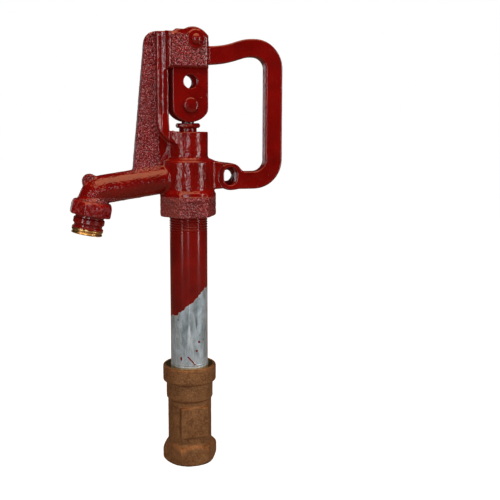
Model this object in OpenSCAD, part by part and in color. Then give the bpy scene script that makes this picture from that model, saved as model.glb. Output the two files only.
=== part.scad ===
// Lever hydrant for a farm yard: a cast head with a lockable lever handle on a riser pipe,
// and a foot valve on the pipe's lower end that drains the pipe when it closes.
// Millimetres, +Z up along the pipe, +X towards the handle, -X towards the spout.
// The origin is the centre of the valve body's inlet mouth, on its bottom face.

/* [Riser] */
// Length of pipe that shows between the valve body and the head
pipe_visible = 135; // [80:1:900]
// Outside diameter of the riser pipe, 1 inch nominal
pipe_od = 33.4; // [33:0.1:33.8]
// Bore of the riser pipe
pipe_id = 26.6; // [26:0.1:27.4]

/* [Head] */
// Height of the hexagonal base of the head
hex_h = 20.6; // [18:0.2:24]
// Width across the flats of the hexagonal base
hex_af = 44; // [42:0.5:48]
// Radius of the lower body
body_r = 22.2; // [21.5:0.1:23]
// Radius of the stuffing box neck
neck_r = 17.5; // [16.5:0.1:18]
// Top of the neck above the bottom of the head
neck_top = 77; // [75:0.2:78]
// Top of the web and the ears above the bottom of the head
ear_top = 161.5; // [160:0.5:164]
// Half width of the yoke across its two ears
ear_y = 18; // [17.5:0.1:20]

/* [Spout] */
// Outside radius of the spout
spout_r = 12.4; // [12:0.05:13]
// Distance from the pipe's axis to the corner of the elbow
elbow_x = 82.4; // [78:0.2:95]
// Angle of the outlet from straight down
nozzle_tilt = 11.5; // [8:0.5:15]
// Outside radius of the hose thread, 3/4 inch garden hose
hose_r = 13.5; // [13.4:0.05:13.6]

/* [Handle] */
// Width of the handle bar in its own plane
bar_w = 15.6; // [14:0.1:16]
// Thickness of the handle bar
bar_t = 11; // [10:0.5:15]
// Distance from the pipe's axis to the middle of the grip
grip_x = 78; // [76:0.5:90]
// How far the handle lifts, in degrees
handle_travel = 90; // [60:5:90]

/* [Valve] */
// Lift of the rod and plunger over the handle's travel
rod_lift = 17.5; // [17:0.1:17.6]
// Height of the valve body
valve_h = 90; // [90:1:110]
// Bore of the valve chamber
chamber_r = 15; // [15:0.1:15.6]

/* [Hidden] */
$fn = 96;

eps = 0.01;
hex_low = 3;                       // bottom of the hexagon in the head's own heights
head_z = valve_h + pipe_visible - hex_low;    // zero of the head's own heights
pipe_r = pipe_od / 2;
socket_gap = 0.05;                 // radial gap of a pipe end in its socket
running_gap = 0.08;                // radial gap of a shaft that turns or slides
snug_gap = 0.02;                   // radial gap of a shaft that stays put

// Head
hex_r = hex_af / 2 / cos(30);
socket_d = 16;                     // depth of the pipe in the head
body_top = 52.6;
neck_bottom = 54.6;
web_left_top = -38;
web_left_bottom = -49.4;
web_bottom = 40;
web_t = 7;
rim_t = 10;
rim_w = 4;
column_left = -27;
column_right = -18.7;
column_t = 22;
ear_right = 15;
ear_left = -20.8;
ear_bottom = 130.7;
ear_round = [-1.2, 145.8];         // centre of the ears' round top
ear_round_r = 20.5;
slot_y = 12.4;                     // half width of the slot between the ears
boss_r = 8;
boss_y = 19;

// Handle and link geometry, (x, height above the head's bottom)
pivot = [3.5, 155];
pivot_r = 3.2;
pivot_head_r = 4.4;
hub_r = 14;                        // round end of the handle, inside the link and the yoke
hub = [3.5, 152.5];
hub_t = 15;                        // thicker than the bar, to fill the gap between the link plates
spacer_r = 4.1;
link_axis_h = 100;                 // lower pin of the link, on the rod's axis
link_t = 4;
link_gap = 8;                      // half the gap between the two link plates
link_half_w = 15.7;
link_foot_r = 17.6;
link_foot_h = 103;
link_shoulder = 132.6;
link_hole_r = 6;
link_hole_h = 120;
link_pin_r = 4;
link_pin_head_r = 6.8;
lift_pin_r = 2.5;
lift_arm = 12;                     // distance of the lift pin from the pivot
lift_start = -55;                  // direction of the lift pin from the pivot, handle down
lift_pin_at = pivot + lift_arm * [cos(lift_start), sin(lift_start)];
finger_w = 7.6;
eye = [37.5, 37.6];                // centre of the lock eye
eye_r = 11.6;
eye_hole_r = 5.7;
eye_hole_rise = 2.1;               // half the length of the straight part of the eye's hole
lug_hole_r = 5.2;
lug_front = 6.2;                   // face of the lug behind the eye

// Rod and packing
rod_r = 5.5;
rod_top = 84.9;
rod_eye_r = 9;
rod_eye_t = 15;
stud_r = 3.4;                      // threaded end of the rod in the eye
rod_bottom_z = 53;
nut_r = 7.7;
nut_flange_af = 19;
nut_flange_h = 4;
nut_top = 84.5;
gland_bottom = 60;
gland_washer_h = 2;
packing_top = 72;

// Nozzle, measured down its own axis from the elbow's corner
elbow_h = 27.2;
spout_h = 39.2;
spout_tilt = atan((spout_h - elbow_h) / elbow_x);
collar_start = 9;
collar_end = 21.7;
nozzle_end = 38;
nozzle_bore = 9.4;

// Valve
inlet_r = 12.05;                   // 3/4 inch pipe thread, tapping size
inlet_d = 17;
seat_z = 27;
throat_r = 9.5;
drain_z = 64;
drain_thread_r = 4.3;              // 1/8 inch pipe thread, tapping size
drain_face_y = 25;

module at_head() translate([0, 0, head_z]) children();

// A flat shape in x and height, given thickness t across the middle plane.
module slab(t) rotate([90, 0, 0]) linear_extrude(t, center = true) children();

// The same, between two distances y0 and y1 in Y.
module slab_between(y0, y1) translate([0, (y0 + y1) / 2, 0]) slab(y1 - y0) children();

// A round bar along Y from y0 to y1 at a place given as [x, height].
module cross_bar(place, r, y0, y1)
    translate([place.x, y0, place.y]) rotate([-90, 0, 0]) cylinder(h = y1 - y0, r = r);

// A solid of revolution about the pipe's axis.
module turned(points) rotate_extrude() polygon(points);

module hexagon(af, h) cylinder(h = h, r = af / 2 / cos(30), $fn = 6);

module ring(r_in, r_out, h) difference() {
    cylinder(h = h, r = r_out);
    translate([0, 0, -eps]) cylinder(h = h + 2 * eps, r = r_in);
}

// Down the outlet's axis, from the corner of the elbow.
module at_nozzle()
    at_head() translate([-elbow_x, 0, elbow_h]) rotate([0, 180 + nozzle_tilt, 0]) children();

// Along the spout's axis, from the body outwards.
module at_spout()
    at_head() translate([0, 0, spout_h]) rotate([0, -90 - spout_tilt, 0]) children();

spout_len = elbow_x / cos(spout_tilt);

// ---- Head ----

module hex_base() intersection() {
    translate([0, 0, hex_low]) rotate(30) hexagon(hex_af, hex_h);
    turned([[0, 0], [hex_r - 3.4, 0], [hex_r + 0.4, 3.8], [hex_r + 0.4, 40], [0, 40]]);
}

module body_and_neck() turned([
    [0, 4], [body_r - 1, 4], [body_r - 1, 20], [23.6, 20], [23.6, hex_low + hex_h + 0.6],
    [body_r, 26.6],
    [body_r, body_top], [neck_r + 0.9, neck_bottom], [neck_r, neck_bottom + 3],
    [neck_r, neck_top - 0.8], [neck_r - 0.8, neck_top], [0, neck_top]
]);

module web() {
    outline = [
        [web_left_bottom, web_bottom], [web_left_top, 153.5], [-36.4, 159],
        [-31, ear_top], [column_left + 4, ear_top], [column_left + 4, 70], [-14, 70],
        [-14, web_bottom]
    ];
    inner = [
        [web_left_bottom + rim_w + 0.4, web_bottom - 1], [web_left_top + rim_w, 152],
        [-30.5, ear_top - rim_w], [column_left - 1, ear_top - rim_w], [column_left - 1, 76],
        [-27, 62], [-31, 50], [-31, web_bottom - 1]
    ];
    slab(web_t) polygon(outline);
    slab(rim_t) difference() {
        polygon(outline);
        polygon(inner);
    }
}

module column() slab(column_t) polygon([
    [column_left, ear_top], [column_right, ear_top], [column_right, 84], [-17.6, 79.6],
    [-15, 77.4], [-12, neck_top - 0.4], [-6, neck_top - 0.4], [-8.3, 66], [-17, 69],
    [column_left + 3, 73.5], [column_left, 80]
]);

module ear_outline() {
    polygon([[ear_left, ear_bottom], [ear_right, ear_bottom],
        [ear_right, ear_round.y], [ear_left, ear_round.y]]);
    translate([ear_left, ear_bottom]) square([10, ear_top - ear_bottom]);
    intersection() {
        translate(ear_round) circle(ear_round_r);
        translate([ear_left, ear_bottom]) square([ear_right - ear_left, 60]);
    }
}

module yoke() {
    slab(2 * ear_y) ear_outline();
    cross_bar(pivot, boss_r, -boss_y, boss_y);
}

module lock_lug() difference() {
    union() {
        slab(22) polygon([[18, 27.5], [30, 27.5], [33, 31], [33, 46], [28, 50], [18, 53]]);
        slab_between(lug_front, 12.7) polygon([[18, 28], [40, 28], [40, 49], [20, 51.5]]);
        cross_bar(eye, 11, lug_front, 12.7);
    }
    cross_bar(eye, eye_r + 0.6, -20, lug_front);
}

// A round lug on the outside of the elbow, which keeps a bucket's handle from sliding off.
module bucket_lug() at_head() cross_bar([-elbow_x - 3.7, elbow_h + 8], 6.4, -4.5, 4.5);

module head_casting() color("firebrick") difference() {
    union() {
        at_head() {
            hex_base();
            body_and_neck();
            web();
            column();
            yoke();
            lock_lug();
        }
        at_spout() cylinder(h = spout_len, r = spout_r);
        at_head() translate([-elbow_x, 0, elbow_h]) sphere(spout_r + 0.3);
        at_nozzle() cylinder(h = collar_start, r = spout_r + 0.15);
        bucket_lug();
    }
    at_head() {
        translate([0, 0, -eps]) cylinder(h = socket_d, r = pipe_r + socket_gap);
        cylinder(h = 48, r = pipe_id / 2 + 0.2);
        translate([0, 0, 40]) cylinder(h = 30, r = rod_r + 0.9);
        translate([0, 0, gland_bottom]) cylinder(h = 30, r = nut_r + socket_gap);
        slab(2 * slot_y) polygon([[column_right + 0.1, 100], [60, 100], [60, 200],
            [column_right + 0.1, 200]]);
        cross_bar(pivot, pivot_r + snug_gap, -30, 30);
        cross_bar(eye, lug_hole_r, 5, 20);
    }
    at_spout() cylinder(h = spout_len, r = nozzle_bore - 1);
    at_head() translate([-elbow_x, 0, elbow_h]) sphere(nozzle_bore - 0.7);
    at_nozzle() cylinder(h = 20, r = nozzle_bore + 1.85);
}

// Red brass outlet: a spigot in the elbow, an eight sided collar and the hose thread.
module hose_nozzle() color("darkgoldenrod") at_nozzle() difference() {
    union() {
        translate([0, 0, 2]) cylinder(h = 10, r = nozzle_bore + 1.8);
        intersection() {
            translate([0, 0, collar_start + 0.05]) rotate(22.5)
                cylinder(h = collar_end - collar_start, r = 17.8, $fn = 8);
            turned([[0, collar_start], [15.2, collar_start], [17.4, collar_start + 3],
                [17.4, collar_end - 2.6], [15.2, collar_end], [0, collar_end]]);
        }
        translate([0, 0, collar_end - 1]) cylinder(h = 2.5, r = hose_r - 1);
        translate([0, 0, collar_end + 1.5]) cylinder(h = nozzle_end - collar_end - 1.5, r = hose_r);
    }
    cylinder(h = 60, r = nozzle_bore);
    translate([0, 0, nozzle_end - 1.2]) cylinder(h = 2, r = nozzle_bore + 1.2);
}

module packing_nut() color("firebrick") at_head() difference() {
    union() {
        translate([0, 0, packing_top + 0.1]) cylinder(h = nut_top - packing_top - 1, r = nut_r);
        translate([0, 0, nut_top - nut_flange_h]) hexagon(nut_flange_af, nut_flange_h);
    }
    cylinder(h = 100, r = rod_r + running_gap);
}

module packing_washer() color("goldenrod") at_head()
    translate([0, 0, gland_bottom + 0.05]) ring(rod_r + running_gap, nut_r, gland_washer_h);

// Three square rings of graphited packing, one on the other.
module packing_rings() color("dimgray") at_head() {
    low = gland_bottom + gland_washer_h + 0.1;
    pitch = (packing_top - low) / 3;
    for (i = [0 : 2])
        translate([0, 0, low + i * pitch]) ring(rod_r + 0.05, nut_r, pitch - 0.05);
}

module pivot_pin() color("firebrick") at_head() {
    cross_bar(pivot, pivot_r, -boss_y - 1, boss_y + 3);
    cross_bar(pivot, pivot_head_r, -boss_y - 2.4, -boss_y - snug_gap);
}

module pivot_clip() color("silver") at_head() difference() {
    cross_bar(pivot, 5.6, boss_y + 0.3, boss_y + 1.5);
    cross_bar(pivot, pivot_r + snug_gap, boss_y, boss_y + 2);
}

// ---- Riser and foot valve ----

module riser_pipe() color("gainsboro") {
    z0 = valve_h - 19.5;
    z1 = head_z + socket_d - 0.5;
    translate([0, 0, z0]) ring(pipe_id / 2, pipe_r, z1 - z0);
}

module valve_outside() {
    intersection() {
        rotate(30) hexagon(hex_af, 18);
        turned([[0, 0], [22.4, 0], [24.6, 2.6], [24.6, 15], [20.5, 18], [0, 18]]);
    }
    turned([[0, 1], [19, 1], [19.75, 17], [19.75, valve_h - 31], [21, valve_h - 29.5],
        [21, valve_h - 16.4], [24, valve_h - 13.8], [24, valve_h - 0.8], [23.2, valve_h],
        [0, valve_h]]);
    translate([-12.5, -20.5, 26]) cube([25, 12, 28]);
    translate([0, 12, drain_z]) rotate([-90, 0, 0]) cylinder(h = drain_face_y - 12, r = 7.5);
}

module valve_body() color("peru") difference() {
    valve_outside();
    translate([0, 0, -eps]) cylinder(h = inlet_d, r = inlet_r);
    cylinder(h = 30, r = throat_r + 1.5);
    translate([0, 0, seat_z - 5]) cylinder(h = 40, r = chamber_r);
    translate([0, 0, valve_h - 28]) cylinder(h = 10, r = chamber_r);
    translate([0, 0, valve_h - 20]) cylinder(h = 30, r = pipe_r + socket_gap);
    translate([0, 0, drain_z]) rotate([-90, 0, 0]) cylinder(h = 40, r = 2);
    translate([0, drain_face_y - 7.5, drain_z]) rotate([-90, 0, 0])
        cylinder(h = 20, r = drain_thread_r);
}

module valve_seat() color("goldenrod") difference() {
    turned([[0, seat_z - 4.95], [chamber_r - 0.05, seat_z - 4.95], [chamber_r - 0.05, seat_z - 2],
        [throat_r + 2.4, seat_z - 2], [throat_r + 1.2, seat_z], [0, seat_z]]);
    cylinder(h = 60, r = throat_r);
}

// ---- Rod and plunger ----

module lift_rod() color("silver") {
    translate([0, 0, rod_bottom_z]) cylinder(h = head_z + rod_top - rod_bottom_z, r = rod_r);
    translate([0, 0, head_z + rod_top - 1]) cylinder(h = 7, r = stud_r);
}

module rod_eye() color("firebrick") at_head() difference() {
    union() {
        translate([0, 0, rod_top + snug_gap]) cylinder(h = 8, r = rod_r);
        cross_bar([0, link_axis_h], rod_eye_r, -rod_eye_t / 2, rod_eye_t / 2);
    }
    cross_bar([0, link_axis_h], link_pin_r + running_gap, -10, 10);
    cylinder(h = rod_top + 6.2, r = stud_r + snug_gap);
}

// Guide clamped on the rod, with four flats that let water past.
module rod_guide() color("ivory") translate([0, 0, head_z - 70]) difference() {
    intersection() {
        ring(rod_r + snug_gap, pipe_id / 2 - 0.08, 9);
        translate([0, 0, 4.5]) cube([21, 21, 20], center = true);
    }
}

module plunger_nut() color("silver") translate([0, 0, 60.05]) difference() {
    hexagon(19, 4);
    translate([0, 0, -1]) cylinder(h = 6, r = rod_r + snug_gap);
}

// Foot, waist, guide land with water passages, and the socket for the rod.
module plunger_body() color("peru") difference() {
    turned([[0, 31.4], [12.6, 31.4], [12.6, 35], [7.8, 38], [7.8, 42], [chamber_r - 0.1, 42],
        [chamber_r - 0.1, 45], [13.4, 45], [13.4, 48], [chamber_r - 0.1, 48],
        [chamber_r - 0.1, 51], [8.6, 51], [8.6, 60], [0, 60]]);
    translate([0, 0, rod_bottom_z - 0.1]) cylinder(h = 10, r = rod_r + snug_gap);
    translate([0, 0, 30]) cylinder(h = 10, r = 2.52);
    for (a = [30 : 60 : 330]) rotate(a) translate([10.8, 0, 40]) cylinder(h = 14, r = 1.8);
}

module drain_seal() color("black") translate([0, 0, 45.05]) ring(13.42, chamber_r - 0.05, 2.9);

module plunger_seal() color("black") translate([0, 0, seat_z + 0.3]) ring(2.6, 12.6, 4.05);

module seal_washer() color("goldenrod") translate([0, 0, seat_z - 1.75]) ring(2.6, 8, 2);

module seal_screw() color("silver") {
    translate([0, 0, seat_z - 5.2]) hexagon(8, 3.4);
    translate([0, 0, seat_z - 2]) cylinder(h = 12.5, r = 2.5);
}

// ---- Link ----

// One plate: a wide body with a round foot, and a finger up to the lift pin.
module link_plate(y0, y1) at_head() {
    finger_x = lift_pin_at.x;
    difference() {
        union() {
            intersection() {
                slab_between(y0, y1) polygon([[-link_half_w, 80], [link_half_w, 80],
                    [link_half_w, link_shoulder], [-link_half_w, link_shoulder]]);
                union() {
                    cross_bar([0, link_foot_h], link_foot_r, y0 - 1, y1 + 1);
                    slab_between(y0 - 1, y1 + 1) polygon([[-30, link_foot_h - 0.2],
                        [30, link_foot_h - 0.2], [30, 140], [-30, 140]]);
                }
            }
            slab_between(y0, y1) polygon([[finger_x - finger_w / 2, 125],
                [finger_x + finger_w / 2, 125], [finger_x + finger_w / 2, lift_pin_at.y],
                [finger_x - finger_w / 2, lift_pin_at.y]]);
            cross_bar(lift_pin_at, finger_w / 2 + 0.1, y0, y1);
        }
        cross_bar([0, link_axis_h], link_pin_r + snug_gap, y0 - 1, y1 + 1);
        cross_bar([0, link_hole_h], link_hole_r, y0 - 1, y1 + 1);
        cross_bar(lift_pin_at, lift_pin_r + snug_gap, y0 - 1, y1 + 1);
    }
}

module link_front() color("firebrick") link_plate(-link_gap - link_t, -link_gap);

module link_rear() color("firebrick") link_plate(link_gap, link_gap + link_t);

module link_pin() color("firebrick") at_head() {
    out = link_gap + link_t;
    cross_bar([0, link_axis_h], link_pin_r, -out - 1, out + 2.6);
    cross_bar([0, link_axis_h], link_pin_head_r, -out - 2.6, -out - snug_gap);
}

module link_pin_clip() color("silver") at_head() difference() {
    out = link_gap + link_t;
    cross_bar([0, link_axis_h], 6.4, out + 0.1, out + 1.3);
    cross_bar([0, link_axis_h], link_pin_r + snug_gap, out - 1, out + 3);
}

module lift_pin() color("silver") at_head()
    cross_bar(lift_pin_at, lift_pin_r, -link_gap - link_t, link_gap + link_t);

// ---- Handle ----

function arc(c, r, a0, a1, n) =
    [for (i = [0 : n]) let (a = a0 + (a1 - a0) * i / n) c + r * [cos(a), sin(a)]];
function bezier(p, q, r, s, n) = [for (i = [0 : n]) let (t = i / n, u = 1 - t)
    u * u * u * p + 3 * u * u * t * q + 3 * u * t * t * r + t * t * t * s];
function side(path, i) =
    let (d = path[min(i + 1, len(path) - 1)] - path[max(i - 1, 0)]) [-d.y, d.x] / norm(d);
function thick_outline(path, w) = concat(
    [for (i = [0 : len(path) - 1]) path[i] + side(path, i) * w / 2],
    [for (i = [len(path) - 1 : -1 : 0]) path[i] - side(path, i) * w / 2]);

bar_start = 8;                     // the bar runs into the hub from here
top_corner_h = 132;
arm_h = 142.6;                     // middle of the upper arm where it leaves the yoke
low_arm_h = eye.y - eye_r + bar_w / 2 + 0.05;
corner_r = 18;
corner_x = grip_x - corner_r;
bar_path = concat(
    bezier([bar_start, arm_h], [42, arm_h - 0.6], [44, top_corner_h + corner_r],
        [corner_x - 2, top_corner_h + corner_r], 14),
    arc([corner_x, top_corner_h], corner_r, 84, 0, 9),
    arc([corner_x, low_arm_h + corner_r], corner_r, 0, -90, 9),
    [[eye.x, low_arm_h]]
);

// The pin follows this slot, along the line from its place to the pivot.
module lift_slot() {
    slot_r = lift_pin_r + 1.15;
    slot_len = 3.5;
    at_pin = [lift_pin_at.x, 0, lift_pin_at.y];
    translate(at_pin) rotate([90, 0, 0]) rotate(180 + lift_start) {
        cylinder(h = 40, r = slot_r, center = true);
        translate([slot_len, 0, 0]) cylinder(h = 40, r = slot_r, center = true);
        translate([slot_len / 2, 0, 0]) cube([slot_len, 2 * slot_r, 40], center = true);
    }
}

module handle() color("firebrick") at_head() difference() {
    union() {
        cross_bar(hub, hub_r, -hub_t / 2, hub_t / 2);
        slab(hub_t) translate([bar_start, arm_h - bar_w / 2]) square([9.5, bar_w]);
        slab(bar_t) polygon(thick_outline(bar_path, bar_w));
        cross_bar(eye, eye_r, -bar_t / 2, bar_t / 2);
    }
    cross_bar(pivot, pivot_r + running_gap, -20, 20);
    lift_slot();
    for (s = [-1, 1]) cross_bar(eye + [0, s * eye_hole_rise], eye_hole_r, -20, 20);
    slab(40) translate(eye) square([2 * eye_hole_r, 2 * eye_hole_rise], center = true);
}

// Two washers that keep the hub in the middle of the yoke.
module pivot_spacers() color("silver") at_head()
    for (y = [-slot_y + 0.3, hub_t / 2 + snug_gap]) difference() {
        cross_bar(pivot, spacer_r, y, y + slot_y - hub_t / 2 - 0.3 - snug_gap);
        cross_bar(pivot, pivot_r + running_gap, y - 1, y + 6);
    }

head_casting();
hose_nozzle();
packing_nut();
packing_washer();
packing_rings();
pivot_pin();
pivot_clip();
riser_pipe();
valve_body();
valve_seat();
lift_rod();
rod_eye();
rod_guide();
plunger_nut();
plunger_body();
drain_seal();
plunger_seal();
seal_washer();
seal_screw();
link_front();
link_rear();
link_pin();
link_pin_clip();
lift_pin();
handle();
pivot_spacers();
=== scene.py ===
"""Looks of the lever yard hydrant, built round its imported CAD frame.

Cast and enamelled pieces are smooth solids: each is written as a signed distance in
millimetres, meshed with a surface net and pulled onto its exact surface. Heights in the
head start HEX_LOW below its hexagonal base, as in the solids, and heights in the valve
body start at its bottom face. Paints and metals are named by their 8 bit display values.
"""

import math

import bpy
import numpy as np
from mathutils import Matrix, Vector


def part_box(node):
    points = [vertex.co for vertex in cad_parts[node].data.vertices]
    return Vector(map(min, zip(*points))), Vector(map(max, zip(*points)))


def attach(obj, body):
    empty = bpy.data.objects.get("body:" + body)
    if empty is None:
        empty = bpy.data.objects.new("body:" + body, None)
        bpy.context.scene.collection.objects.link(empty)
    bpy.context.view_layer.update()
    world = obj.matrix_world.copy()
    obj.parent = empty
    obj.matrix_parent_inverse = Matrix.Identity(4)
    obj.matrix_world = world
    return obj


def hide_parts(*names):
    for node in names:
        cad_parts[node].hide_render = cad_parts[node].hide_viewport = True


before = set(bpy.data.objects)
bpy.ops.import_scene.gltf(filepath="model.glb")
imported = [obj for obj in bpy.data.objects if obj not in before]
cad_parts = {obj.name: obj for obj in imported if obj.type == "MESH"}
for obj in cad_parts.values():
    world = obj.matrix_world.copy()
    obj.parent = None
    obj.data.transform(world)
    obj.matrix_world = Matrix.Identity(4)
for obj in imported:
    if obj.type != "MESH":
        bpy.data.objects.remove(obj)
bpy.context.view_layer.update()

F = np.float32
COARSE = 1.0
PIPE_IN_HEAD = 15.5                          # pipe's top end in the head's own heights
PIPE_LOW, PIPE_HIGH = (float(corner[2]) * 1000 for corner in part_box("riser_pipe"))
VALVE_TOP = float(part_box("valve_body")[1][2]) * 1000
HEAD_Z = PIPE_HIGH - PIPE_IN_HEAD


# ---- Signed distances ----

def blend_min(a, b, k):
    """Union with a fillet of about k."""
    if k <= 0:
        return np.minimum(a, b)
    h = np.maximum(k - np.abs(a - b), 0) / k
    return np.minimum(a, b) - h * h * k * 0.25


def blend_max(a, b, k):
    """Intersection with a rounded edge of about k."""
    return -blend_min(-a, -b, k)


def cut(a, b, k=0.0):
    """a without b, its new edge rounded by about k."""
    return blend_max(a, -b, k)


def poly(u, v, points):
    """Distance to a polygon in a plane."""
    u, v = np.broadcast_arrays(u, v)
    best = np.full(u.shape, 1e9, F)
    sign = np.ones(u.shape, F)
    for i, (x0, y0) in enumerate(points):
        x1, y1 = points[(i + 1) % len(points)]
        ex, ey = x1 - x0, y1 - y0
        wx, wy = u - x0, v - y0
        t = np.clip((wx * ex + wy * ey) / (ex * ex + ey * ey), 0, 1)
        best = np.minimum(best, (wx - ex * t) ** 2 + (wy - ey * t) ** 2)
        above, below, left = v >= y0, v < y1, ex * wy > ey * wx
        flip = (above & below & left) | ~(above | below | left)
        sign = np.where(flip, -sign, sign)
    return sign * np.sqrt(best)


def path_distance(u, v, points):
    """Distance to an open line of points in a plane."""
    best = None
    for (x0, y0), (x1, y1) in zip(points[:-1], points[1:]):
        ex, ey = x1 - x0, y1 - y0
        t = np.clip(((u - x0) * ex + (v - y0) * ey) / (ex * ex + ey * ey), 0, 1)
        d = (u - x0 - ex * t) ** 2 + (v - y0 - ey * t) ** 2
        best = d if best is None else np.minimum(best, d)
    return np.sqrt(best)


def prism(flat, across, half, rim=0.0):
    """A flat outline with thickness 2 * half, its rim rounded."""
    a, b = flat + rim, np.abs(across) - half + rim
    return np.minimum(np.maximum(a, b), 0) + np.hypot(np.maximum(a, 0), np.maximum(b, 0)) - rim


def axial(x, y, z, p, d):
    """Distance along and away from the line through p with direction d."""
    d = np.array(d, float) / np.linalg.norm(d)
    a, b, c = x - p[0], y - p[1], z - p[2]
    t = a * d[0] + b * d[1] + c * d[2]
    return t, np.sqrt(np.maximum(a * a + b * b + c * c - t * t, 1e-8))


def tube(x, y, z, p, q, r, rim=0.3):
    """Distance to a round bar from p to q with radius r."""
    length = float(np.linalg.norm(np.subtract(q, p)))
    t, away = axial(x, y, z, p, np.subtract(q, p))
    return prism(away - r, t - length / 2, length / 2, rim)


def ball(x, y, z, c, r):
    return np.sqrt((x - c[0]) ** 2 + (y - c[1]) ** 2 + (z - c[2]) ** 2) - r


def between(v, low, high):
    """Distance to the slab from low to high."""
    return np.abs(v - (low + high) / 2) - (high - low) / 2


def slab(flat, v, low, high, rim=0.0):
    """A flat outline that reaches from low to high, its rim rounded."""
    return prism(flat, v - (low + high) / 2, (high - low) / 2, rim)


def box2(u, v, u0, u1, v0, v1, rim=0.0):
    """Distance to a rectangle in a plane, its corners rounded."""
    return slab(between(u, u0, u1), v, v0, v1, rim)


def off_point(x, z, p):
    """Distance from the cross bore through p, a place in x and height."""
    return np.sqrt((x - p[0]) ** 2 + (z - p[1]) ** 2)


def hexagon(x, y, across, turn, k):
    """Distance to a regular hexagonal bar across its flats, edges rounded by k."""
    d = None
    for i in range(3):
        a = math.radians(turn + 60 * i)
        side = np.abs(x * math.cos(a) + y * math.sin(a)) - across / 2
        d = side if d is None else blend_max(d, side, k)
    return d


def lattice_noise(p, size, seed):
    """Smooth noise from -1 to 1 at points p, with cells of the given size."""
    table = np.random.default_rng(seed).uniform(-1, 1, (32, 32, 32))
    q = p / size
    i = np.floor(q).astype(int)
    f = q - i
    f = f * f * (3 - 2 * f)
    total = 0
    for a in (0, 1):
        for b in (0, 1):
            for c in (0, 1):
                w = (f[:, 0] if a else 1 - f[:, 0]) * (f[:, 1] if b else 1 - f[:, 1])
                w = w * (f[:, 2] if c else 1 - f[:, 2])
                total = total + w * table[(i[:, 0] + a) % 32, (i[:, 1] + b) % 32, (i[:, 2] + c) % 32]
    return total


# ---- Meshing ----

def surface_net(f, low, step):
    """Vertices and quads of the surface where the sampled field f is zero."""
    inside = f < 0
    corners = [(a, b, c) for a in (0, 1) for b in (0, 1) for c in (0, 1)]
    nx, ny, nz = (n - 1 for n in f.shape)
    count = sum(inside[a:a + nx, b:b + ny, c:c + nz].astype(np.int8) for a, b, c in corners)
    active = (count > 0) & (count < 8)
    cells = np.argwhere(active)
    number = np.full(active.shape, -1, np.int32)
    number[active] = np.arange(len(cells))
    value = [f[cells[:, 0] + a, cells[:, 1] + b, cells[:, 2] + c] for a, b, c in corners]
    total, hits = np.zeros((len(cells), 3)), np.zeros(len(cells))
    for m, p in enumerate(corners):
        for n, q in enumerate(corners):
            if n > m and sum(abs(i - j) for i, j in zip(p, q)) == 1:
                crossed = (value[m] < 0) != (value[n] < 0)
                t = np.where(crossed, value[m] / np.where(crossed, value[m] - value[n], 1), 0)
                point = np.array(p) + t[:, None] * (np.array(q) - np.array(p))
                total += point * crossed[:, None]
                hits += crossed
    verts = np.array(low) + (cells + total / hits[:, None]) * step
    quads = []
    for axis in range(3):
        u, v = [a for a in range(3) if a != axis]
        lower, upper = [slice(None)] * 3, [slice(None)] * 3
        lower[axis], upper[axis] = slice(None, -1), slice(1, None)
        edges = np.argwhere(inside[tuple(lower)] != inside[tuple(upper)])
        keep = (edges[:, u] > 0) & (edges[:, v] > 0)
        keep &= (edges[:, u] < active.shape[u]) & (edges[:, v] < active.shape[v])
        edges = edges[keep]
        ring = []
        for du, dv in ((1, 1), (0, 1), (0, 0), (1, 0)):
            cell = edges.copy()
            cell[:, u] -= du
            cell[:, v] -= dv
            ring.append(number[cell[:, 0], cell[:, 1], cell[:, 2]])
        ring = np.stack(ring, 1)
        outward = inside[edges[:, 0], edges[:, 1], edges[:, 2]]
        if axis == 1:
            outward = ~outward
        quads.append(np.where(outward[:, None], ring, ring[:, ::-1]))
    return verts, np.concatenate(quads)


def gradient(sdf, p, e=0.06):
    """Slope of the distance at points p, from steps of e each way."""
    g = []
    for axis in range(3):
        a, b = p.copy(), p.copy()
        a[:, axis] += e
        b[:, axis] -= e
        g.append((sdf(*a.T) - sdf(*b.T)) / (2 * e))
    return np.stack(g, 1)


def settle(sdf, p, step, rounds=3):
    """Pull the points onto the exact surface; returns them and their normals."""
    for _ in range(rounds):
        g = gradient(sdf, p)
        size = np.maximum((g * g).sum(1), 0.05)
        move = -(sdf(*p.T) / size)[:, None] * g
        length = np.linalg.norm(move, axis=1, keepdims=True)
        p = p + move * np.minimum(1, 0.5 * step / np.maximum(length, 1e-9))
    g = gradient(sdf, p)
    return p, g / np.maximum(np.linalg.norm(g, axis=1, keepdims=True), 1e-9)


def piece(name, sdf, low, high, step, body, nodes, material, lift=0.0, rough=None,
          marks=None):
    """One finished piece, meshed with cells of step between the corners low and high.

    lift is the height of its local origin. rough and marks take the points and their
    normals: rough moves the skin along its normal, marks gives point attributes for the
    material.
    """
    step = step * COARSE
    margin = 1.3 * step
    low = np.array(low, float) - margin
    counts = np.ceil((np.array(high) + margin - low) / step).astype(int) + 1
    grids = []
    for axis in range(3):
        shape = [1, 1, 1]
        shape[axis] = -1
        grids.append((low[axis] + step * np.arange(counts[axis])).astype(F).reshape(shape))
    field = np.broadcast_to(sdf(*grids), tuple(counts))
    verts, quads = surface_net(field, low, step)
    verts, normals = settle(sdf, verts, step)
    if rough is not None:
        verts = verts + normals * rough(verts, normals)[:, None]
    mesh = bpy.data.meshes.new(name)
    out = verts.copy()
    out[:, 2] += lift
    mesh.from_pydata(out / 1000, [], quads)
    mesh.polygons.foreach_set("use_smooth", np.ones(len(quads), bool))
    if marks is not None:
        for label, values in marks(verts, normals).items():
            layer = mesh.attributes.new(label, "FLOAT", "POINT")
            layer.data.foreach_set("value", np.asarray(values, F))
    mesh.validate()
    mesh.update()
    return place(name, mesh, body, nodes, material)


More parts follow.
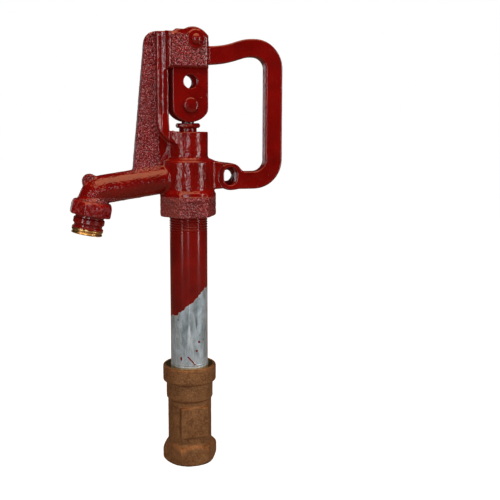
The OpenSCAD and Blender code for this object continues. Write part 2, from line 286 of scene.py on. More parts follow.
def place(name, mesh, body, nodes, material):
    """Put the mesh in the scene, riding on its body in place of its CAD nodes."""
    obj = bpy.data.objects.new(name, mesh)
    bpy.context.scene.collection.objects.link(obj)
    mesh.materials.append(material)
    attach(obj, body)
    if nodes:
        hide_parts(*nodes)
    return obj


# ---- Materials ----

class Shader:
    """A node material whose sockets are set by name; a socket as a value makes a link."""

    def __init__(self, name):
        self.material = bpy.data.materials.new(name)
        self.material.use_nodes = True
        self.tree = self.material.node_tree
        self.tree.nodes.clear()
        self.output = self.tree.nodes.new("ShaderNodeOutputMaterial")
        self.surface = self.add("ShaderNodeBsdfPrincipled")
        self.tree.links.new(self.surface.outputs[0], self.output.inputs[0])

    def add(self, kind, sockets=None, **props):
        node = self.tree.nodes.new(kind)
        for key, value in props.items():
            setattr(node, key, value)
        self.feed(node, sockets or {})
        return node

    def feed(self, node, sockets):
        for key, value in sockets.items():
            if isinstance(value, bpy.types.NodeSocket):
                self.tree.links.new(value, node.inputs[key])
            else:
                node.inputs[key].default_value = value

    def set(self, **sockets):
        self.feed(self.surface, {k.replace("_", " "): v for k, v in sockets.items()})
        return self.material

    def where(self, stretch=None):
        at = self.add("ShaderNodeTexCoord").outputs["Object"]
        if stretch:
            at = self.add("ShaderNodeMapping", {"Vector": at, "Scale": stretch}).outputs[0]
        return at

    def noise(self, scale, detail=2.0, rough=0.5, at=None, distortion=0.0):
        at = at if at is not None else self.where()
        return self.add("ShaderNodeTexNoise", {
            "Vector": at, "Scale": scale, "Detail": detail, "Roughness": rough,
            "Distortion": distortion}).outputs[0]

    def cells(self, scale):
        """Distance from the nearest of a scatter of points."""
        sockets = {"Vector": self.where(), "Scale": scale}
        return self.add("ShaderNodeTexVoronoi", sockets).outputs["Distance"]

    def math(self, operation, a, b=0.5):
        return self.add("ShaderNodeMath", {0: a, 1: b}, operation=operation).outputs[0]

    def times(self, a, b):
        return self.math("MULTIPLY", a, b)

    def plus(self, a, b):
        return self.math("ADD", a, b)

    def span(self, value, low, high, to_low=0.0, to_high=1.0):
        """Map low..high to to_low..to_high, level outside."""
        return self.add("ShaderNodeMapRange", {
            "Value": value, 1: low, 2: high, 3: to_low, 4: to_high}).outputs[0]

    def mix(self, factor, a, b):
        node = self.add("ShaderNodeMix", data_type="RGBA")
        self.feed(node, {0: factor, 6: a, 7: b})
        return node.outputs[2]

    def bump(self, height, distance, strength=1.0, normal=None):
        sockets = {"Height": height, "Distance": distance, "Strength": strength}
        if normal is not None:
            sockets["Normal"] = normal
        return self.add("ShaderNodeBump", sockets).outputs[0]

    def mark(self, name):
        return self.add("ShaderNodeAttribute", attribute_name=name).outputs["Fac"]


def rgb(r, g, b):
    """A linear colour from 8 bit display values."""
    line = [v / 255 / 12.92 if v <= 10 else ((v / 255 + 0.055) / 1.055) ** 2.4 for v in (r, g, b)]
    return (*line, 1.0)


RED, RED_DARK = rgb(130, 10, 5), rgb(104, 6, 3)
# Painted glints on the tops of the sand, and painted shade in its pits
PAINTED_GLINT, PAINTED_PIT_SHADE = rgb(214, 130, 146), rgb(64, 5, 10)
# Pale pink of a painted reflection on the hexagon
PAINTED_SHEEN_RED = rgb(168, 98, 92)
PIPE_RED, PIPE_RED_DARK = rgb(128, 11, 7), rgb(102, 7, 5)
ZINC, ZINC_LIGHT = rgb(116, 139, 150), rgb(184, 213, 232)
ZINC_STREAK, ZINC_SHINE = rgb(78, 94, 102), rgb(214, 240, 255)
ZINC_GRIT, ZINC_SPOT, ZINC_LIP = rgb(88, 92, 90), rgb(52, 52, 50), rgb(205, 205, 205)
BRONZE_DARK, BRONZE_LIGHT = rgb(128, 92, 58), rgb(158, 118, 78)
BRONZE_GRAIN, BRONZE_PIT = rgb(186, 146, 104), rgb(84, 56, 36)
BRONZE_TURNED, BRONZE_SHINE = rgb(196, 150, 70), rgb(226, 188, 112)
BRASS_TIP, BRASS_SHINE, BRASS_STAIN = rgb(186, 142, 76), rgb(240, 206, 142), rgb(104, 74, 40)


def red_casting():
    """Gloss enamel over sand-cast iron; the mark grain says where the sand texture shows, and with
    it how much painted glint and painted pit shade the red gets; above 1 it adds a painted
    reflection.
    """
    s = Shader("red_casting")
    grain = s.mark("grain")
    sand = s.noise(560, 1.0, 0.5)
    flecks = s.noise(980, 1.0, 0.5)
    swell = s.noise(85, 2, 0.5)
    tone = s.span(s.noise(46, 3, 0.6), 0.36, 0.66)
    colour = s.mix(tone, RED, RED_DARK)
    # Painted shade in the pits of the sand
    pit_shade = s.times(s.span(flecks, 0.5, 0.42), s.span(grain, 0.5, 0.9, 0, 0.75))
    colour = s.mix(pit_shade, colour, PAINTED_PIT_SHADE)
    # Painted glints on the tops of the sand
    glints = s.times(s.span(flecks, 0.56, 0.66), s.span(grain, 0.5, 0.9, 0, 0.62))
    colour = s.mix(glints, colour, PAINTED_GLINT)
    # Painted reflection: above 1 the mark lightens the red to a pale pink
    colour = s.mix(s.span(grain, 1.0, 1.3, 0, 0.35), colour, PAINTED_SHEEN_RED)
    height = s.times(sand, s.math("MINIMUM", grain, 1.0))
    normal = s.bump(height, 0.0012, 1.0, s.bump(swell, 0.001, 0.5))
    return s.set(Base_Color=colour, Roughness=s.span(grain, 0, 1, 0.11, 0.18),
                 Specular_IOR_Level=0.5, Normal=normal)


def red_enamel():
    """Smooth gloss enamel with a slight orange peel and a few dust nibs."""
    s = Shader("red_enamel")
    peel = s.noise(330, 2, 0.5)
    wave = s.noise(60, 2, 0.5)
    tone = s.span(s.noise(38, 3, 0.6), 0.35, 0.68)
    colour = s.mix(tone, RED, RED_DARK)
    nibs = s.span(s.cells(260), 0.0, 0.09, 1.0, 0.0)
    normal = s.bump(s.plus(peel, s.times(nibs, 0.5)), 0.00035, 0.7, s.bump(wave, 0.0016, 0.35))
    return s.set(Base_Color=colour, Roughness=s.span(s.noise(120), 0.3, 0.7, 0.11, 0.19),
                 Specular_IOR_Level=0.5, Normal=normal)


# Drops of paint on the bare pipe: x, height, half width and half height, in metres
DROPS = ((0.0052, 0.1135, 0.0011, 0.0012), (0.0030, 0.1056, 0.0011, 0.0011),
         (-0.0105, 0.0985, 0.0007, 0.0020), (0.0095, 0.1150, 0.0006, 0.0006))
RUN_SLOPE = (0.75, 0.66)                # a drop that ran: its fall in x and in height
RUN_ACROSS, RUN_ALONG = 0.0625, -0.0738
EDGE_RISE, EDGE_H, EDGE_TOP = 0.98, 0.1515, 0.1612    # the paint's edge climbs to the right
EDGE_TEAR = 0.012


def zinc(s):
    """Colour of the bare galvanised skin, with its streaks and its grit."""
    streak = s.noise(170, 4, 0.6, s.where((1, 1, 0.12)), 0.6)
    patch = s.noise(75, 4, 0.62, s.where((1, 1, 0.5)), 0.8)
    grit = s.noise(620, 3, 0.7)
    grey = s.mix(s.span(patch, 0.34, 0.62), ZINC, ZINC_LIGHT)
    grey = s.mix(s.span(streak, 0.56, 0.7), grey, ZINC_STREAK)
    grey = s.mix(s.span(streak, 0.42, 0.3), grey, ZINC_SHINE)
    grey = s.mix(s.span(grit, 0.6, 0.74, 0, 0.7), grey, ZINC_GRIT)
    spots = s.span(s.cells(105), 0.06, 0.12, 1.0, 0.0)
    return s.mix(s.times(spots, 0.75), grey, ZINC_SPOT), streak, grit


def splashes(s, x, y, z):
    """1 where paint splashed on the front of the bare pipe: drops, and one that ran."""
    lean_x, lean_z = RUN_SLOPE
    across = s.plus(s.times(x, lean_x), s.times(z, lean_z))
    along = s.math("SUBTRACT", s.times(x, lean_z), s.times(z, lean_x))
    off_line = s.math("ABSOLUTE", s.math("SUBTRACT", across, RUN_ACROSS))
    off_middle = s.math("ABSOLUTE", s.math("SUBTRACT", along, RUN_ALONG))
    paint = s.times(s.span(off_line, 0.0004, 0.0008, 1.0, 0.0),
                    s.span(off_middle, 0.0050, 0.0056, 1.0, 0.0))
    for drop_x, drop_z, half_x, half_z in DROPS:
        du = s.math("DIVIDE", s.math("SUBTRACT", x, drop_x), half_x)
        dv = s.math("DIVIDE", s.math("SUBTRACT", z, drop_z), half_z)
        away = s.plus(s.times(du, du), s.times(dv, dv))
        paint = s.math("MAXIMUM", paint, s.span(away, 0.7, 1.1, 1.0, 0.0))
    return s.times(paint, s.span(y, -0.001, 0.0, 1.0, 0.0))


def pipe_finish():
    """Galvanised pipe, painted red down to a torn edge, with splashes below it."""
    s = Shader("galvanised_pipe")
    x, y, z = s.add("ShaderNodeSeparateXYZ", {0: s.where()}).outputs[0:3]
    grey, streak, grit = zinc(s)
    tear = s.plus(s.times(s.noise(110, 4, 0.65), EDGE_TEAR), -EDGE_TEAR / 2)
    edge = s.math("MINIMUM", s.plus(s.times(x, EDGE_RISE), EDGE_H), EDGE_TOP)
    over = s.math("SUBTRACT", z, s.plus(edge, tear))
    painted = s.math("MAXIMUM", s.span(over, -0.0001, 0.0003), splashes(s, x, y, z))
    red = s.mix(s.span(s.noise(40, 3, 0.6), 0.35, 0.68), PIPE_RED, PIPE_RED_DARK)
    lip = s.times(s.span(over, -0.0012, 0.0, 0.0, 1.0), s.span(over, 0.0, 0.0002, 1, 0))
    grey = s.mix(s.times(lip, 0.6), grey, ZINC_LIP)
    colour = s.mix(painted, grey, red)
    skin = s.plus(s.times(streak, 0.3), s.times(grit, 0.15))
    level = s.plus(s.times(skin, s.math("SUBTRACT", 1.0, painted)), s.times(painted, 0.5))
    return s.set(Base_Color=colour, Metallic=s.span(painted, 0, 1, 0.35, 0.0),
                 Roughness=s.span(painted, 0, 1, 0.42, 0.14), Specular_IOR_Level=0.36,
                 Normal=s.bump(level, 0.0007, 0.8))


def cast_bronze():
    """Rough sand-cast bronze; the mark machined says where the cutter went."""
    s = Shader("bronze")
    cutter = s.mark("machined")
    sand = s.noise(560, 4, 0.7)
    mottle = s.noise(90, 4, 0.6)
    colour = s.mix(s.span(mottle, 0.36, 0.64), BRONZE_DARK, BRONZE_LIGHT)
    colour = s.mix(s.span(sand, 0.52, 0.68, 0, 0.6), colour, BRONZE_GRAIN)
    colour = s.mix(s.span(sand, 0.46, 0.32, 0, 0.6), colour, BRONZE_PIT)
    turned = s.noise(1500, 1, 0.5, s.where((0.05, 0.05, 1)))
    colour = s.mix(cutter, colour, s.mix(turned, BRONZE_TURNED, BRONZE_SHINE))
    height = s.mix(cutter, sand, s.times(turned, 0.12))
    return s.set(Base_Color=colour, Metallic=s.span(cutter, 0, 1, 0.72, 1.0),
                 Roughness=s.span(cutter, 0, 1, 0.52, 0.24), Normal=s.bump(height, 0.0013, 0.8))


def nozzle_finish():
    """Brass outlet under the same red enamel, which stops short of the tip."""
    s = Shader("painted_brass")
    paint, grain = s.mark("paint"), s.mark("grain")
    ragged = s.plus(paint, s.span(s.noise(420, 3, 0.6), 0.3, 0.7, -0.35, 0.35))
    painted = s.span(ragged, 0.42, 0.58)
    turned = s.noise(900, 2, 0.5)
    brass = s.mix(turned, BRASS_TIP, BRASS_SHINE)
    brass = s.mix(s.span(s.noise(240, 3, 0.6), 0.58, 0.72), brass, BRASS_STAIN)
    sand = s.noise(450, 1, 0.5)
    red = s.mix(s.span(s.noise(60, 3, 0.6), 0.36, 0.66), RED, RED_DARK)
    # Painted glints of the sand on the red of the collar
    red = s.mix(s.times(s.span(sand, 0.48, 0.64), s.times(grain, 0.35)), red, PAINTED_GLINT)
    height = s.times(sand, s.span(grain, 0, 1, 0.15, 0.9))
    normal = s.bump(s.plus(height, s.times(painted, 0.3)), 0.0012, 0.8)
    return s.set(Base_Color=s.mix(painted, brass, red), Metallic=s.span(painted, 0, 1, 1.0, 0.0),
                 Roughness=s.span(painted, 0, 1, 0.3, 0.16), Normal=normal)


def plain_metal(name, dark, light, rough):
    """Turned metal, brighter along fine rings."""
    s = Shader(name)
    fine = s.noise(900, 3, 0.6, s.where((0.08, 0.08, 1)))
    broad = s.noise(60, 3, 0.6)
    blotch = s.plus(s.times(fine, 0.5), s.times(broad, 0.5))
    return s.set(Base_Color=s.mix(s.span(blotch, 0.35, 0.65), dark, light), Metallic=1.0,
                 Roughness=s.span(broad, 0.3, 0.7, rough * 0.8, rough * 1.25),
                 Normal=s.bump(fine, 0.00012, 0.6))


def soft_solid(name, dark, light, rough, grain_scale):
    """Rubber, packing or nylon with a fine grain."""
    s = Shader(name)
    fine = s.noise(grain_scale, 4, 0.65)
    colour = s.mix(s.span(fine, 0.35, 0.65), dark, light)
    return s.set(Base_Color=colour, Roughness=s.span(fine, 0.3, 0.7, rough * 0.85, rough),
                 Normal=s.bump(fine, 0.0003, 0.5))


CASTING, ENAMEL, PIPE, BRONZE, NOZZLE = (
    red_casting(), red_enamel(), pipe_finish(), cast_bronze(), nozzle_finish())
STEEL = plain_metal("steel", rgb(120, 121, 122), rgb(168, 169, 170), 0.32)
BRASS = plain_metal("brass", rgb(168, 122, 56), rgb(214, 170, 96), 0.28)
RUBBER = soft_solid("rubber", rgb(18, 18, 18), rgb(34, 34, 34), 0.7, 700)
GRAPHITE = soft_solid("packing", rgb(34, 34, 36), rgb(66, 66, 68), 0.55, 1400)
NYLON = soft_solid("nylon", rgb(214, 208, 190), rgb(232, 228, 214), 0.5, 500)


# ---- Head casting ----

HEX_ACROSS, HEX_LOW, HEX_TOP = 44.2, 3.0, 23.8
BODY_R, BODY_LOW, BODY_TOP = 22.2, 4.5, 52.7
NECK_R, NECK_LOW, NECK_TOP = 17.5, 7.0, 77.0
WEB_HALF, PANEL_HALF = 5.0, 4.2                   # the border's and the panel's half thickness
COLUMN_LEFT, COLUMN_RIGHT, COLUMN_HALF = -28.8, -18.7, 11.2
CREST_X, CREST_HALF = -22.0, 12.0
EAR_LEFT, EAR_RIGHT, EAR_LOW, EAR_TOP, EAR_HALF = -20.8, 15.0, 130.7, 161.5, 18.0
EAR_ROUND, EAR_ROUND_R = (-2.0, 145.6), 21.0      # round top of the ears
SLOT_LEFT, SLOT_LOW, SLOT_HALF = -18.6, 78.0, 12.4
PIVOT, PIVOT_R = (3.5, 155.0), 3.2                # the handle's pin, x and height
BOSS_R, BOSS_HALF = 7.9, 18.9
EYE, EYE_R = (37.5, 37.6), 11.6                   # lock eye of the handle
LUG_FRONT, LUG_BACK, LUG_R, LUG_HOLE_R = 6.2, 12.7, 11.0, 5.2
WELL_R = 12.3                                     # room for the eye in the lug's root
SPOUT_R, SPOUT_H, ELBOW, BEND_R = 12.4, 39.2, (-82.4, 27.2), 11.0
TILT = math.radians(11.5)                         # the nozzle's lean from upright
DOWN = (-math.sin(TILT), 0.0, -math.cos(TILT))
BAIL, BAIL_R, BAIL_HALF = (-86.1, 35.2), 6.5, 4.6    # bucket lug across the elbow
SOCKET_R, WATER_R, ROD_BORE_R, PACKING_R, SPOUT_BORE_R = 16.75, 13.5, 6.4, 7.75, 8.4
BEVEL_SLOPE = (-0.545, 0.839)                     # of the left bevels, in x and outwards


def arc(cx, cz, r, a0, a1, n):
    """Points of an arc from angle a0 to a1, in degrees."""
    return [(cx + r * math.cos(math.radians(a0 + (a1 - a0) * i / n)),
             cz + r * math.sin(math.radians(a0 + (a1 - a0) * i / n))) for i in range(n + 1)]


def spout_line(bend):
    """Middle of the spout: straight, round the elbow on the radius bend, and down."""
    fall = math.atan2(SPOUT_H - ELBOW[1], -ELBOW[0])
    turn = math.pi / 2 - TILT - fall
    reach = bend * math.tan(turn / 2)
    start = (ELBOW[0] + reach * math.cos(fall), ELBOW[1] + reach * math.sin(fall))
    centre = (start[0] + bend * math.sin(fall), start[1] - bend * math.cos(fall))
    first = 90 + math.degrees(fall)
    round_it = arc(*centre, bend, first, first + math.degrees(turn), 10)
    end = (ELBOW[0] + 14 * DOWN[0], ELBOW[1] + 14 * DOWN[2])
    return [(0, SPOUT_H)] + round_it + [end]


SPOUT_LINE = spout_line(BEND_R)


def hex_base(x, y, z, off):
    """Hexagon that holds the pipe, its corners broken at both ends."""
    base = blend_max(hexagon(x, y, HEX_ACROSS, 30, 0.7), between(z, HEX_LOW, HEX_TOP), 0.8)
    base = blend_max(base, (off - 21.4 - z) * 0.72, 0.8)
    return blend_max(base, (off - 24.2 - 1.3 * (HEX_TOP - z)) * 0.61, 0.9)


def stem(z, off):
    """Body with a flare over the hexagon, and the neck that holds the packing."""
    body = slab(off - BODY_R, z, BODY_LOW, BODY_TOP, 2.4)
    flare = np.maximum(off - 23.9, (off - 22.5 + 0.62 * (z - 26.2)) * 0.85)
    body = blend_min(body, blend_max(flare, between(z, 17.0, 26.2), 0.8), 1.4)
    return blend_min(body, slab(off - NECK_R, z, NECK_LOW, NECK_TOP, 0.9), 4.0)


def web(x, y, z):
    """Thin panel with a raised border, from the spout up to the yoke."""
    outline = poly(x, z, [(-49.4, 40), (-38.1, 152.0), (-37.5, 155.0), (-35.8, 158.4),
                          (-33.3, 160.6), (-30.6, EAR_TOP), (-23, EAR_TOP), (-23, 75),
                          (-14, 75), (-14, 40)])
    panel = poly(x, z, [(-46.6, 39), (-35.4, 151.6), (-34.0, 156.0), (-30.8, 158.6),
                        (-28.4, 158.6), (-28.4, 84), (-26.8, 78), (-23.5, 75), (-19.6, 73),
                        (-18.2, 66), (-20.4, 59), (-25, 51.6), (-30, 46), (-34, 39)])
    recess = slab(panel, np.abs(y), PANEL_HALF, 11.0, 0.4)
    return cut(prism(outline, y, WEB_HALF, 1.3), recess, 0.9)


def left_bevel(x, flat, left, front, depth):
    """Plane that breaks the edge between a left side and a front face by depth."""
    return BEVEL_SLOPE[0] * (x - left) + BEVEL_SLOPE[1] * (flat - front) + depth


def column(x, z, flat):
    """Post with a crest down its front; its foot turns into a lip that wraps the neck."""
    post = poly(x, z, [(COLUMN_LEFT, EAR_TOP), (COLUMN_RIGHT, EAR_TOP), (COLUMN_RIGHT, 85),
                       (-18.0, 81.2), (-16.2, 78.6), (-13.4, 77.2), (-7, 76.9), (-7, 71),
                       (-8.4, 66.6), (-10.5, 65.4), (-15.5, 67.4), (-19.9, 69.9),
                       (-23.4, 73.0), (-26.6, 77.0), (-28.3, 81.6), (COLUMN_LEFT, 86)])
    foot = np.clip((92 - z) / 10, 0, 1)       # 1 where the post has become the lip
    reach = COLUMN_HALF + np.clip((x + 19) * 0.78, 0, 6.6) * foot
    shape = prism(post, flat - reach + 10, 10, 1.2)
    crest = flat - CREST_HALF + 0.44 * np.abs(x - CREST_X) - 6 * foot
    shape = blend_max(shape, crest * 0.92, 0.8)
    return blend_max(shape, left_bevel(x, flat, COLUMN_LEFT, 9.2, 0.35), 0.4)


def ears(x, y, z):
    """Two round-topped ears as one block, with the bosses of the handle's pin."""
    outline = poly(x, z, [(EAR_LEFT, EAR_LOW), (EAR_RIGHT, EAR_LOW), (EAR_RIGHT, 158.1)]
                   + arc(*EAR_ROUND, EAR_ROUND_R, 36.9, 131.5, 14) + [(EAR_LEFT, EAR_TOP)])
    shape = prism(outline, y, EAR_HALF, 3.4)
    shape = blend_max(shape, left_bevel(x, np.abs(y), EAR_LEFT, EAR_HALF, 2.0), 0.8)
    boss = tube(x, y, z, (PIVOT[0], -BOSS_HALF, PIVOT[1]), (PIVOT[0], BOSS_HALF, PIVOT[1]),
                BOSS_R, 0.9)
    return blend_min(shape, boss, 0.8)


def yoke_slot(x, y, z):
    """Slot between the ears, open at the top and to the right."""
    slot = prism(box2(x, z, SLOT_LEFT, 60, SLOT_LOW, 200, 0.8), y, SLOT_HALF, 0.6)
    return blend_max(slot, 77.4 - z, 0.2)


def lock_lug(x, y, z):
    """Root on the body and a round plate behind the handle's eye."""
    root = prism(poly(x, z, [(16, 26.6), (29.5, 27.2), (33.2, 31), (33.4, 46), (28.4, 50.4),
                             (16, 53.4)]), y, 11.0, 1.8)
    plate = slab(poly(x, z, [(18, 27.4), (38, 27.4), (42, 48.6), (20, 51.6)]), y,
                 LUG_FRONT, LUG_BACK, 0.8)
    disc = tube(x, y, z, (EYE[0], LUG_FRONT, EYE[1]), (EYE[0], LUG_BACK, EYE[1]), LUG_R, 0.8)
    disc = np.where(x > 20, disc, disc + 20)
    well = tube(x, y, z, (EYE[0], -25, EYE[1]), (EYE[0], LUG_FRONT, EYE[1]), WELL_R, 0.3)
    return cut(blend_min(blend_min(root, plate, 1.5), disc, 1.0), well, 0.6)


def spout(x, y, z):
    """Round spout with a bent elbow, a swell at its end and the bucket lug across it."""
    off_line = path_distance(x, z, SPOUT_LINE)
    down, off_down = axial(x, y, z, (ELBOW[0], 0, ELBOW[1]), DOWN)
    pipe = np.maximum(np.sqrt(off_line * off_line + y * y) - SPOUT_R, down - 9.0)
    swell = np.maximum(off_down - (12.0 + 0.8 * (down - 6.5)), between(down, 5.8, 9.0))
    off = off_point(x, z, BAIL)
    bail = prism(off - BAIL_R, y, BAIL_HALF, 1.1)
    bail = cut(bail, slab(off - 4.6, np.abs(y), 4.1, 8.7, 0.3), 0.4)
    return blend_min(blend_min(pipe, swell, 2.0), bail, 2.2)


def bored(shape, x, y, z, off):
    """The casting with its pipe socket, water way, rod, packing, pin and lock bores."""
    shape = cut(shape, np.maximum(off - SOCKET_R, z - 16), 0.4)
    shape = cut(shape, np.maximum(off - WATER_R, z - 48), 0.0)
    shape = cut(shape, np.maximum(off - ROD_BORE_R, z - 70), 0.0)
    shape = cut(shape, np.maximum(off - PACKING_R, 60 - z), 0.3)
    shape = cut(shape, off_point(x, z, PIVOT) - PIVOT_R - 0.02, 0.0)
    shape = cut(shape, np.maximum(off_point(x, z, EYE) - LUG_HOLE_R, between(y, 3, 21)), 0.5)
    root_at, corner = (0, 0, SPOUT_H), (ELBOW[0], 0, ELBOW[1])
    along, off_spout = axial(x, y, z, root_at, np.subtract(corner, root_at))
    water = np.maximum(off_spout - SPOUT_BORE_R, between(along, 1, 83))
    water = blend_min(water, ball(x, y, z, corner, 8.7), 0.5)
    down, off_down = axial(x, y, z, corner, DOWN)
    water = np.minimum(water, np.maximum(off_down - 11.25, between(down, 4.4, 21.6)))
    return cut(shape, water, 0.3)


def head(x, y, z):
    flat, off = np.abs(y), np.sqrt(x * x + y * y)
    shape = blend_min(stem(z, off), web(x, y, z), 1.6)
    shape = blend_min(shape, column(x, z, flat), 1.3)
    shape = blend_min(shape, ears(x, y, z), 2.4)
    shape = cut(shape, yoke_slot(x, y, z), 0.5)
    shape = blend_min(shape, lock_lug(x, y, z), 2.6)
    shape = blend_min(shape, spout(x, y, z), 2.2)
    shape = blend_min(shape, hex_base(x, y, z, off), 1.0)
    return bored(shape, x, y, z, off)


# How much sand texture shows, from 0 to 1; above 1 a painted reflection lightens the paint too
GRAIN_PLAIN, GRAIN_NECK, GRAIN_SPOUT, GRAIN_WEB, GRAIN_LUG = 0.16, 0.27, 0.27, 0.92, 0.7


def head_grain(p, n):
    """Where sand texture shows: web panel, faces of the yoke and hexagon; less elsewhere. The
    hexagon's values above 1 add a painted reflection.
    """
    x, y, z = p.T
    flat, off = np.abs(y), np.hypot(x, y)
    front = np.clip((np.abs(n[:, 1]) - 0.87) / 0.08, 0, 1)
    on_neck = (off < 24.5) & (z > 24) & (z < 78) & (x > -18)
    g = np.where(on_neck, GRAIN_NECK, np.full(len(p), GRAIN_PLAIN))
    side = np.clip(1 - np.abs(n[:, 2] - 0.05) / 0.22, 0, 1) * (flat > 9)
    on_spout = (x < -24) & (z < 52)
    g = np.where(on_spout, GRAIN_SPOUT + np.where(x < -74, 0.5, 0.22) * side, g)
    g = np.where((x < -26.5) & (z > 42) & (flat < 7.2), GRAIN_WEB, g)
    # Faces of the ears, fading out towards their rounded edges and round the pin
    from_middle = np.hypot(np.maximum(x + 1.2, 0), np.maximum(z - 145.8, 0))
    fade = np.clip((15.0 - from_middle) / 3.0, 0, 1) * np.clip((12.5 - x) / 2.5, 0, 1)
    off_pin = np.hypot(x - PIVOT[0], z - PIVOT[1])
    fade = fade * np.clip(off_pin - 7.5, 0.15, 1)
    on_yoke = (z > 129) & (flat > 15.4) & (x > -21.5)
    g = np.where(on_yoke, 0.25 + 0.75 * front * fade, g)
    # Hexagon under a painted reflection, strongest on its left front faces
    on_base = (z < 21.2) & (off > 20)
    sheen_side = np.clip(-3 * n[:, 0] - 0.5, 0, 1) * (n[:, 1] < 0)
    g = np.where(on_base, 1.08 + 0.24 * sheen_side, g)
    on_bail = (np.hypot(x - BAIL[0], z - BAIL[1]) < 6) & (flat < 5) & (front > 0.5)
    return {"grain": np.where(on_bail, GRAIN_LUG, g)}


def sandy(p, n):
    """Lumps of the sand mould, which stop at the machined bores."""
    g = head_grain(p, n)["grain"]
    lumps = 0.10 * lattice_noise(p, 9.0, 3) + 0.13 * g * lattice_noise(p, 2.3, 4)
    lumps += 0.12 * g * lattice_noise(p, 1.6, 5)
    in_bore = (np.hypot(p[:, 0], p[:, 1]) < 17.2) & (p[:, 2] < 60)
    return np.where(in_bore, 0, lumps)


piece("head_shell", head, (-100, -26, 0), (50, 26, 162), 0.74, "hydrant",
      ["head_casting"], CASTING, HEAD_Z, sandy, head_grain)


# ---- Hose outlet ----

FACES_HALF = 16.9                       # half the width across the collar's eight faces
COLLAR_START, COLLAR_END = 9.05, 21.65  # places along the nozzle, from the elbow's corner
HOSE_R, ROOT_R, NOZZLE_END = 13.5, 12.2, 38
NOZZLE_BORE_R, TIP_BORE_R, SPIGOT_R = 9.4, 10.6, 11.2
PAINT_END = 33.8


def nozzle_frame(x, y, z):
    return axial(x, y, z, (ELBOW[0], 0, ELBOW[1]), DOWN)


def nozzle(x, y, z):
    """Eight-sided collar, hose thread with a plain tip, and the spigot in the spout."""
    t, off = nozzle_frame(x, y, z)
    across = (x - ELBOW[0]) * DOWN[2] - (z - ELBOW[1]) * DOWN[0]
    octagon = None
    for i in range(4):
        a = math.radians(45 * i)
        side = np.abs(across * math.cos(a) + y * math.sin(a)) - FACES_HALF
        octagon = side if octagon is None else blend_max(octagon, side, 0.5)
    collar = blend_max(octagon, between(t, COLLAR_START, COLLAR_END), 1.2)
    collar = blend_max(collar, (off - 15.8 - 0.62 * (t - 9.1)) * 0.85, 0.8)
    collar = blend_max(collar, (off - 17.5 - 0.9 * (21.7 - t)) * 0.74, 0.5)
    thread = poly(t, off, [(18, 5), (18, 12.3), (23.8, 12.3), (24.6, HOSE_R), (28.4, HOSE_R),
                           (29.4, ROOT_R), (31.4, ROOT_R), (32.2, HOSE_R), (34.7, HOSE_R),
                           (35.5, 12.7), (36.3, 12.7), (36.7, 13.3), (37.6, 13.3),
                           (NOZZLE_END, 12.8), (NOZZLE_END, 5)])
    spigot = np.maximum(off - SPIGOT_R, between(t, 4.6, 12.0))
    shape = np.minimum(blend_min(collar, thread, 0.5), spigot)
    bore = np.minimum(off - NOZZLE_BORE_R, np.maximum(off - TIP_BORE_R, 36.8 - t))
    return cut(shape, bore, 0.3)


def nozzle_marks(p, n):
    """Paint up to the last turns of the thread, and sand texture on the collar."""
    t, off = nozzle_frame(*p.T)
    paint = np.clip((PAINT_END - t) / 1.4, 0, 1)
    on_collar = (t < 21) & (t > 10) & (off > 14.5)
    return {"paint": np.where(off < 10.9, 0.0, paint), "grain": np.where(on_collar, 0.5, 0.12)}


piece("hose_outlet", nozzle, (-108, -18.5, -14), (-63, 18.5, 30), 0.42, "hydrant",
      ["hose_nozzle"], NOZZLE, HEAD_Z, None, nozzle_marks)


# ---- Handle ----

def bezier(p, q, r, s, n):
    """Points of a curve from p to s that leaves towards q and arrives from r."""
    out = []
    for i in range(n + 1):
        t = i / n
        u = 1 - t
        out.append(tuple(u ** 3 * a + 3 * u * u * t * b + 3 * u * t * t * c + t ** 3 * d
                         for a, b, c, d in zip(p, q, r, s)))
    return out


BAR_HALF_WIDE, BAR_HALF_THICK = 7.8, 5.5
HUB_H, HUB_R, HUB_HALF = 152.5, 14, 7.5
GRIP_X, TOP_CORNER_H, CORNER_R = 78, 132, 18
LIFT_PIN, LIFT_PIN_UP = (10.38, 145.17), (8.37, 148.04)    # both ends of its slot in the hub
LOW_ARM_H = 33.85
BAR = (bezier((8, 142.6), (42, 142.0), (44, 150), (58, 150), 14)
       + arc(GRIP_X - CORNER_R, TOP_CORNER_H, CORNER_R, 84, 0, 12)
       + arc(GRIP_X - CORNER_R, LOW_ARM_H + CORNER_R, CORNER_R, 0, -90, 12)
       + [(EYE[0], LOW_ARM_H)])


def handle(x, y, z):
    """Looped bar that ends in the lock eye, and the hub between the ears."""
    outline = blend_min(path_distance(x, z, BAR) - BAR_HALF_WIDE, off_point(x, z, EYE) - EYE_R,
                        3.5)
    bar = prism(outline, y, BAR_HALF_THICK, 1.4)
    hub = tube(x, y, z, (PIVOT[0], -HUB_HALF, HUB_H), (PIVOT[0], HUB_HALF, HUB_H), HUB_R, 1.2)
    thick = prism(box2(x, z, 6, 17.5, 134.8, 150.4, 1.0), y, HUB_HALF, 1.2)
    shape = blend_min(bar, np.minimum(hub, thick), 2.0)
    hole = path_distance(x, z, [(EYE[0], EYE[1] - 2.1), (EYE[0], EYE[1] + 2.1)]) - 5.7
    shape = cut(shape, hole, 1.6)
    shape = cut(shape, off_point(x, z, PIVOT) - PIVOT_R - 0.08, 0.2)
    return cut(shape, path_distance(x, z, [LIFT_PIN, LIFT_PIN_UP]) - 3.65, 0.3)


def hand_worn(p, n):
    """Slight waves of a forged bar; the bore of the pin stays true."""
    in_bore = np.hypot(p[:, 0] - PIVOT[0], p[:, 2] - PIVOT[1]) < 4.5
    worn = 0.10 * lattice_noise(p, 11.0, 8) + 0.03 * lattice_noise(p, 3.0, 9)
    return np.where(in_bore, 0, worn)


piece("loop_handle", handle, (-16, -8, 25), (88, 8, 170), 0.62, "lever",
      ["handle"], ENAMEL, HEAD_Z, hand_worn)


# ---- Link, pins and gland ----

